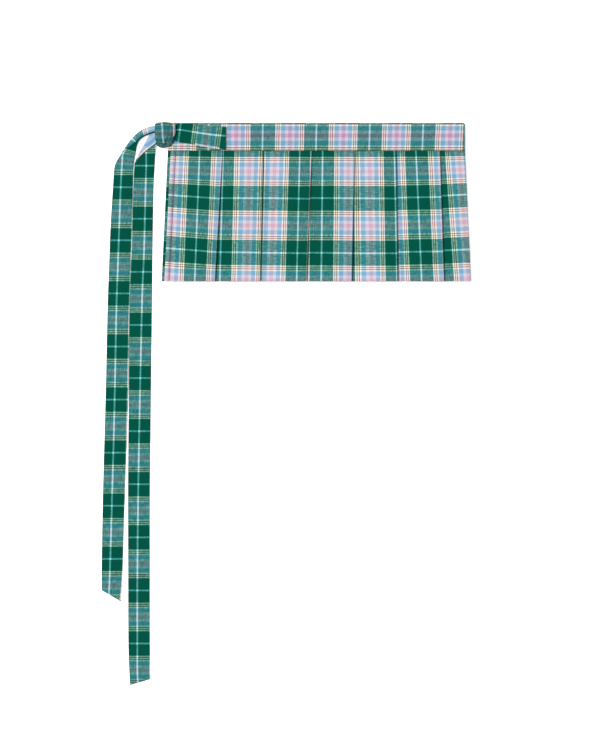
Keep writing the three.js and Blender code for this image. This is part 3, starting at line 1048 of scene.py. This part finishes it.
def tie_rows(end):
    """Spine rows of a free end. Across a row the middle runs from the free edge of the part turned over
    to the left edge and under it to the right; where nothing is turned over it is a straight line."""
    shares = edge_shares(28)
    rows = []
    flat_run = 0.0
    for row in spline(end.rows, step=ROW_STEP):
        left, right = Vector((row.lx, row.ly, row.z)), Vector((row.rx, row.ry, row.z))
        across = (right - left).normalized()
        face = (right - left).length
        flap = max(row.flap, 0.0)
        radius = min(TIE_THICK * TURN_RADIUS, flap * TURN_RADIUS_SHARE)
        turn = math.pi * radius
        folded = flap > LEAST_FLAP and not flat_run
        if not folded:
            flap = turn = radius = 0.0
            flat_run += ROW_STEP
        shown = smooth(flap / 2)
        points, normals, charts, alongs = [], [], [], []
        for share in shares:
            s = mix(folded_run(share, flap, turn, face), share * face, smooth(flat_run / SPREAD_LENGTH))
            if s < flap:
                offset, height, normal = radius + flap - s, 2 * radius, -UP
            elif s < flap + turn:
                angle = math.pi * (s - flap) / turn
                offset, height = radius - radius * math.sin(angle), radius + radius * math.cos(angle)
                normal = across * math.sin(angle) - UP * math.cos(angle)
            else:
                offset, height, normal = min(radius + s - flap - turn, face), 0.0, UP
            point = left + across * offset + UP * height
            by_y = (end.aqua_y - point.y) / TIE_REPEAT
            by_row = -row.along / TIE_REPEAT
            if s < flap + turn:
                charts.append(mix(row.across, end.flap_across + s, shown) / REPEAT_ACROSS)
                alongs.append(mix(by_y, by_row, shown))
            else:
                charts.append((row.across + offset) / REPEAT_ACROSS)
                by_table = smooth((point.y - end.straight_y) / GIVES_WAY_OVER)
                alongs.append(mix(by_y, max(by_row, LEAST_ALONG), by_table))
            point.z += relief(point.x, point.y, TIE_WAVES)
            points.append(point)
            normals.append(normal)
        rows.append(SpineRow(points, normals, charts, alongs))
    return rows


def tie_on_band_rows():
    """Spine rows of the tie on the band, lying on it, from the sewn end to inside the knot."""
    shares = edge_shares(18)
    rows = []
    for row in spline(TIE_ON_BAND, step=2.5):
        points, charts, alongs = [], [], []
        for share in shares:
            y = mix(row.low, row.high, share)
            lift = TIE_OVER_BAND + (BAND_THICK + TIE_THICK) / 2
            lift += TIE_LIFT * smooth((row.x - LIFT_FROM_X) / LIFT_OVER)
            lift += TIE_SWELL * smooth((SWELL_FROM_X - row.x) / SWELL_OVER) * math.sin(math.pi * share)
            points.append(Vector((row.x, y, band_front_mid(y) + relief(row.x, y, BAND_CREASES) + lift)))
            spread = min((row.high - row.low) / TIE_WIDTH, 1.0)
            rolled = ROLLED_EDGE * smooth((row.x - ROLLED_FROM_X) / 8) * smooth((ROLLED_TO_X - row.x) / 9)
            across = max((y - row.aqua) / spread / REPEAT_ACROSS, FACE_LIMIT)
            charts.append(ROLLED_ACROSS if y - row.low < rolled else across)
            from_pink = TIE_ON_BAND_PINK_X - row.x + TIE_ON_BAND_SLANT * (y - row.aqua)
            alongs.append(0.5 + from_pink / REPEAT_ACROSS)
        rows.append(SpineRow(points, [UP] * len(points), charts, alongs))
    return rows


class SKIRT_OT_ties(bpy.types.Operator):
    """Build the tie sewn on the band and the two free ends"""

    bl_idname = "wrap_skirt.ties"
    bl_label = "Ties"

    def execute(self, context):
        tie = pressed_tube("tie_on_band", tie_on_band_rows(), TIE_THICK)
        dress(tie, cotton_of("ties"), "tie_cloth", "tie_front")
        for end in FREE_ENDS:
            piece = pressed_tube(end.piece, tie_rows(end), TIE_THICK)
            dress(piece, cotton_of("ties"), "tie_cloth", end.node)
        return {"FINISHED"}


# Knot

def turn_values(turn):
    """Left and right edge and the aqua line at a place round the outer turn."""
    for before, after in zip(KNOT_TURNS, KNOT_TURNS[1:]):
        if turn <= after.turn:
            share = smooth((turn - before.turn) / (after.turn - before.turn))
            return [mix(a, b, share) for a, b in zip(before[1:], after[1:])]
    return KNOT_TURNS[-1][1:]


def rounded(value, power):
    """A sine or cosine that makes an oval fuller than an ellipse, with a power under 1."""
    return math.copysign(abs(value) ** power, value)


def knot_point(across, turn):
    """A point of the outer turn, across from -1 at its left edge to 1 at its right."""
    angle = math.pi * turn
    left, right, _ = turn_values(turn)
    dent = 0.0
    for crease in KNOT_CREASES:
        away = (turn - crease.turn) / crease.reach
        beside = (across - crease.across) / crease.width
        dent += crease.depth * math.exp(-away * away - beside * beside)
    reach = 1 - 0.11 * across * across - 0.03 * abs(across) ** 9 - dent / KNOT_HALF_HEIGHT * 0.6
    rise = 1 - 0.34 * abs(across) ** 3 - dent / KNOT_HALF_DEPTH
    y = KNOT_MIDDLE_Y + rounded(math.cos(angle), 0.8) * KNOT_HALF_HEIGHT * reach
    z = KNOT_MIDDLE_Z + rounded(math.sin(angle), 0.7) * KNOT_HALF_DEPTH * rise
    x = mix(left, right, (across + 1) / 2)
    return Vector((x, y, max(z, knot_floor(x, y))))


def knot_floor(x, y):
    """How low the knot's cloth can lie: on the tie and the band where they pass under it, or the floor."""
    lies_on = band_front_mid(y) + BAND_THICK / 2 + KNOT_CLEARANCE
    return mix(KNOT_CLEARANCE, lies_on, smooth((x - BAND_LEFT + 3.5) / 4))


def knot_wrap():
    """The tie's outer turn round the knot, as a closed belt of cloth."""
    columns, rows = 34, 80

    def place(i, j):
        return knot_point(2 * i / columns - 1, 2 * (j % rows) / rows)

    runs = [0.0]
    for j in range(rows):
        runs.append(runs[-1] + (place(columns // 2, j + 1) - place(columns // 2, j)).length)
    front = runs[rows // 4]

    def chart(i, j):
        turn = 2 * j / rows
        x = place(i, j).x
        _, _, aqua = turn_values(turn)
        beside = x - aqua
        beside += 0.011 * beside * abs(beside)
        pink = KNOT_MIDDLE_Y - KNOT_PINK_Y
        return beside / REPEAT_ACROSS, 0.5 + (runs[j] - front - pink) / REPEAT_ACROSS

    piece = cloth_grid("knot_wrap", columns, rows, place, chart, joins=(DOUBLED,))
    thicken(piece, TIE_THICK * MM, -1.0, False)
    return piece


def knot_fold():
    """The lower turn of the knot: a soft gathered fold of the tie under the outer one."""
    path = spline(KNOT_FOLD, step=0.6)
    columns = 32

    def place(i, j):
        angle = 2 * math.pi * i / columns
        here = path[j]
        before, after = path[max(j - 1, 0)], path[min(j + 1, len(path) - 1)]
        along = Vector((after.x - before.x, after.y - before.y, 0)).normalized()
        side = UP.cross(along)
        run = j / len(path)
        gather = 1 + 0.11 * math.sin(4 * angle + 7.0 * run) + 0.08 * math.sin(7 * angle - 9.0 * run + 1.0)
        gather += 0.05 * math.sin(15.0 * run + 0.8) + 0.04 * math.sin(31.0 * run - 2 * angle)
        end = min(min(j, len(path) - 1 - j) / 5, 1.0)
        size = here.half * gather * math.sqrt(end * (2 - end) + 1e-4)
        out = side * (math.cos(angle) * size * FOLD_ACROSS)
        return Vector((here.x, here.y, here.z)) + out + UP * (math.sin(angle) * size * FOLD_UP)

    def chart(i, j):
        # The dark stripes alone: no pale one shows in the fold
        return 0.30 * i / columns - 0.22, 0.30 + 0.40 * j / len(path)

    return cloth_grid("knot_fold", columns, len(path) - 1, place, chart, joins=(DOUBLED, POLE))


def knot_core():
    """The ties where they cross inside the outer turn: a gathered lump whose ends show beside it."""
    columns, rows = 28, 20

    def place(i, j):
        angle = 2 * math.pi * i / columns
        share = 2 * j / rows - 1
        gather = 1 + 0.08 * math.sin(5 * angle + 2 * share) + 0.05 * math.sin(9 * angle)
        size = math.sqrt(max(1 - share * share, 0.0)) ** 0.6 * gather
        reach = (share, size * math.cos(angle), size * math.sin(angle))
        return [middle + half * part for middle, half, part in zip(CORE_MIDDLE, CORE_HALF, reach)]

    def chart(i, j):
        return 0.06 + 0.2 * i / columns, 0.05 + 0.2 * j / rows

    return cloth_grid("knot_core", columns, rows, place, chart, joins=(DOUBLED, POLE))


class SKIRT_OT_knot(bpy.types.Operator):
    """Build the knot: the outer turn of the tie and the gathered cloth inside it"""

    bl_idname = "wrap_skirt.knot"
    bl_label = "Knot"

    def execute(self, context):
        # The knot's outer turn and the cloth inside it take cottons darkened as painted shade
        wrap = dress(knot_wrap(), cotton_of("knot"), "tie_cloth", "knot")
        inside = [dress(made, cotton_of("inside_knot"), "tie_cloth") for made in (knot_core(), knot_fold())]
        return {"FINISHED"}


# Sewing

# Stitches: the width of those on the hem, drawn wider than a real thread so that it also paints the
# shade of the groove, how far the tie's row is in from its sewn end, and how far it stops short of the
# tie's edges
HEM_STITCH_WIDTH = 1.2
SEAM_IN = 2.2
SEAM_SHORT = 1.8


def front_height(x, y):
    """Height of the middle of the cloth on the first strip of the front at a place."""
    path = front_path((SEAM_Y - y) / (SEAM_Y - HEM_Y))
    face = path[UNDER_STEPS + TURN_STEPS:]
    for before, after in zip(face, face[1:]):
        if before.x <= x <= after.x:
            inside = (x - before.x) / max(after.x - before.x, 1e-9)
            return mix(before.height, after.height, inside) + relief(x, y, SKIRT_CREASES)
    raise ValueError(f"no cloth at {x:.1f}, {y:.1f}")


def stitch_line(name, points, thread, width, slot):
    """A row of stitches through points, each a short round bead of thread pressed into the cloth."""
    pitch = sizes().stitch / MM
    bm = bmesh.new()
    for start, end in zip(points, points[1:]):
        count = max(1, round((end - start).length / pitch))
        along = (end - start) / count
        for k in range(count):
            middle = start + along * (k + 0.5)
            made = bmesh.ops.create_icosphere(bm, subdivisions=1, radius=0.5)
            size = Vector((along.length * 0.9, width, width * 0.7))
            bmesh.ops.scale(bm, vec=size * MM, verts=made["verts"])
            turn = along.to_track_quat("X", "Z").to_matrix()
            bmesh.ops.rotate(bm, cent=(0, 0, 0), matrix=turn, verts=made["verts"])
            bmesh.ops.translate(bm, vec=middle * MM, verts=made["verts"])
    for face in bm.faces:
        face.smooth = True
    return dress(mesh_object(name, bm), thread, slot)


class SKIRT_OT_sewing(bpy.types.Operator):
    """Sew the hem of the free edge and the end of the tie on the band"""

    bl_idname = "wrap_skirt.sewing"
    bl_label = "Sewing"

    def execute(self, context):
        thread = material_once("sewing_thread", sewing_thread, colours().thread)
        # The hem's thread is dark and wide: the thread itself, and painted shade of the groove it lies in
        hem_thread = material_once("hem_thread", sewing_thread, colours().hem_thread)

        # The hem's row runs from just under the band to just above the fold
        hem = []
        count = 65
        for k in range(count + 1):
            y = mix(SEAM_Y - 1, HEM_Y + 0.8, k / count)
            x = mix(*FREE_EDGE, (SEAM_Y - y) / (SEAM_Y - HEM_Y)) + HEM_GROOVE_IN
            hem.append(Vector((x, y, front_height(x, y) + sizes().cloth / MM / 2 + 0.1)))
        stitch_line("hem_stitches", hem, hem_thread, HEM_STITCH_WIDTH, "skirt_cloth")
        end = TIE_ON_BAND[0]
        seam = []
        for y in (end.low + SEAM_SHORT, end.high - SEAM_SHORT):
            z = band_front_mid(y) + BAND_THICK / 2 + TIE_OVER_BAND + TIE_THICK + 0.05
            seam.append(Vector((end.x - SEAM_IN, y, z)))
        stitch_line("tie_stitches", seam, thread, sizes().stitch_width / MM, "tie_cloth")
        return {"FINISHED"}


# Stage

LENS = 200.0
VIEW_HEIGHT = 0.975
VIEW_CENTRE = (0.01755, 0.03705)
SENSOR = 36.0
FLOOR_SIZE = 12.0

# Soft light from all round, and a broad sun, given by the light that it throws on the floor
SKY_LIGHT = 0.58
SUN_LIGHT = 0.92
SUN_SPREAD = 14.0
SUN_HEIGHT = 58.0
SUN_BEARING = 162.0


class SKIRT_OT_stage(bpy.types.Operator):
    """Lay white paper under the skirt and light and photograph it from straight above"""

    bl_idname = "wrap_skirt.stage"
    bl_label = "Stage"

    def execute(self, context):
        scene = context.scene
        bm = bmesh.new()
        bmesh.ops.create_grid(bm, x_segments=2, y_segments=2, size=FLOOR_SIZE)
        floor = mesh_object("floor", bm)
        floor.data.materials.append(material_once("white_paper", white_paper))

        camera = bpy.data.objects.new("camera", bpy.data.cameras.new("camera"))
        camera.data.lens = LENS
        camera.data.sensor_width = SENSOR
        camera.data.clip_end = 20
        camera.location = (*VIEW_CENTRE, VIEW_HEIGHT * LENS / SENSOR)
        scene.collection.objects.link(camera)
        scene.camera = camera

        world = bpy.data.worlds.new("studio")
        world.use_nodes = True
        background = world.node_tree.nodes["Background"]
        background.inputs["Color"].default_value = (1, 1, 1, 1)
        background.inputs["Strength"].default_value = SKY_LIGHT
        scene.world = world
        light = bpy.data.objects.new("window", bpy.data.lights.new("window", "SUN"))
        height, bearing = math.radians(SUN_HEIGHT), math.radians(SUN_BEARING)
        place = Vector((math.cos(bearing), math.sin(bearing), math.tan(height))).normalized()
        light.data.angle = math.radians(SUN_SPREAD)
        light.data.energy = SUN_LIGHT * math.pi / place.z
        light.location = place * 3
        light.rotation_euler = (-place).to_track_quat("-Z", "Y").to_euler()
        scene.collection.objects.link(light)
        scene.view_settings.view_transform = "Standard"
        return {"FINISHED"}


PIECES = (
    SKIRT_OT_back_panel,
    SKIRT_OT_front_panel,
    SKIRT_OT_waistband,
    SKIRT_OT_ties,
    SKIRT_OT_knot,
    SKIRT_OT_sewing,
    SKIRT_OT_stage,
)


class SKIRT_PT_pieces(bpy.types.Panel):
    """Lists the pieces of the skirt and its colours and sizes"""

    bl_idname = "SKIRT_PT_pieces"
    bl_label = "Wrap Skirt"
    bl_space_type = "VIEW_3D"
    bl_region_type = "UI"
    bl_category = "Wrap Skirt"

    def draw(self, context):
        for operator in PIECES:
            self.layout.operator(operator.bl_idname)
        for group in (context.scene.skirt_colours, context.scene.skirt_sizes):
            for name in group.__annotations__:
                self.layout.prop(group, name)


CLASSES = (SkirtColours, SkirtSizes, *PIECES, SKIRT_PT_pieces)


def register():
    for cls in CLASSES:
        bpy.utils.register_class(cls)
    bpy.types.Scene.skirt_colours = bpy.props.PointerProperty(type=SkirtColours)
    bpy.types.Scene.skirt_sizes = bpy.props.PointerProperty(type=SkirtSizes)


def unregister():
    del bpy.types.Scene.skirt_sizes
    del bpy.types.Scene.skirt_colours
    for cls in reversed(CLASSES):
        bpy.utils.unregister_class(cls)


def main():
    register()
    bpy.ops.wrap_skirt.back_panel()
    bpy.ops.wrap_skirt.front_panel()
    bpy.ops.wrap_skirt.waistband()
    bpy.ops.wrap_skirt.ties()
    bpy.ops.wrap_skirt.knot()
    bpy.ops.wrap_skirt.sewing()
    bpy.ops.wrap_skirt.stage()


if __name__ == "__main__":
    main()
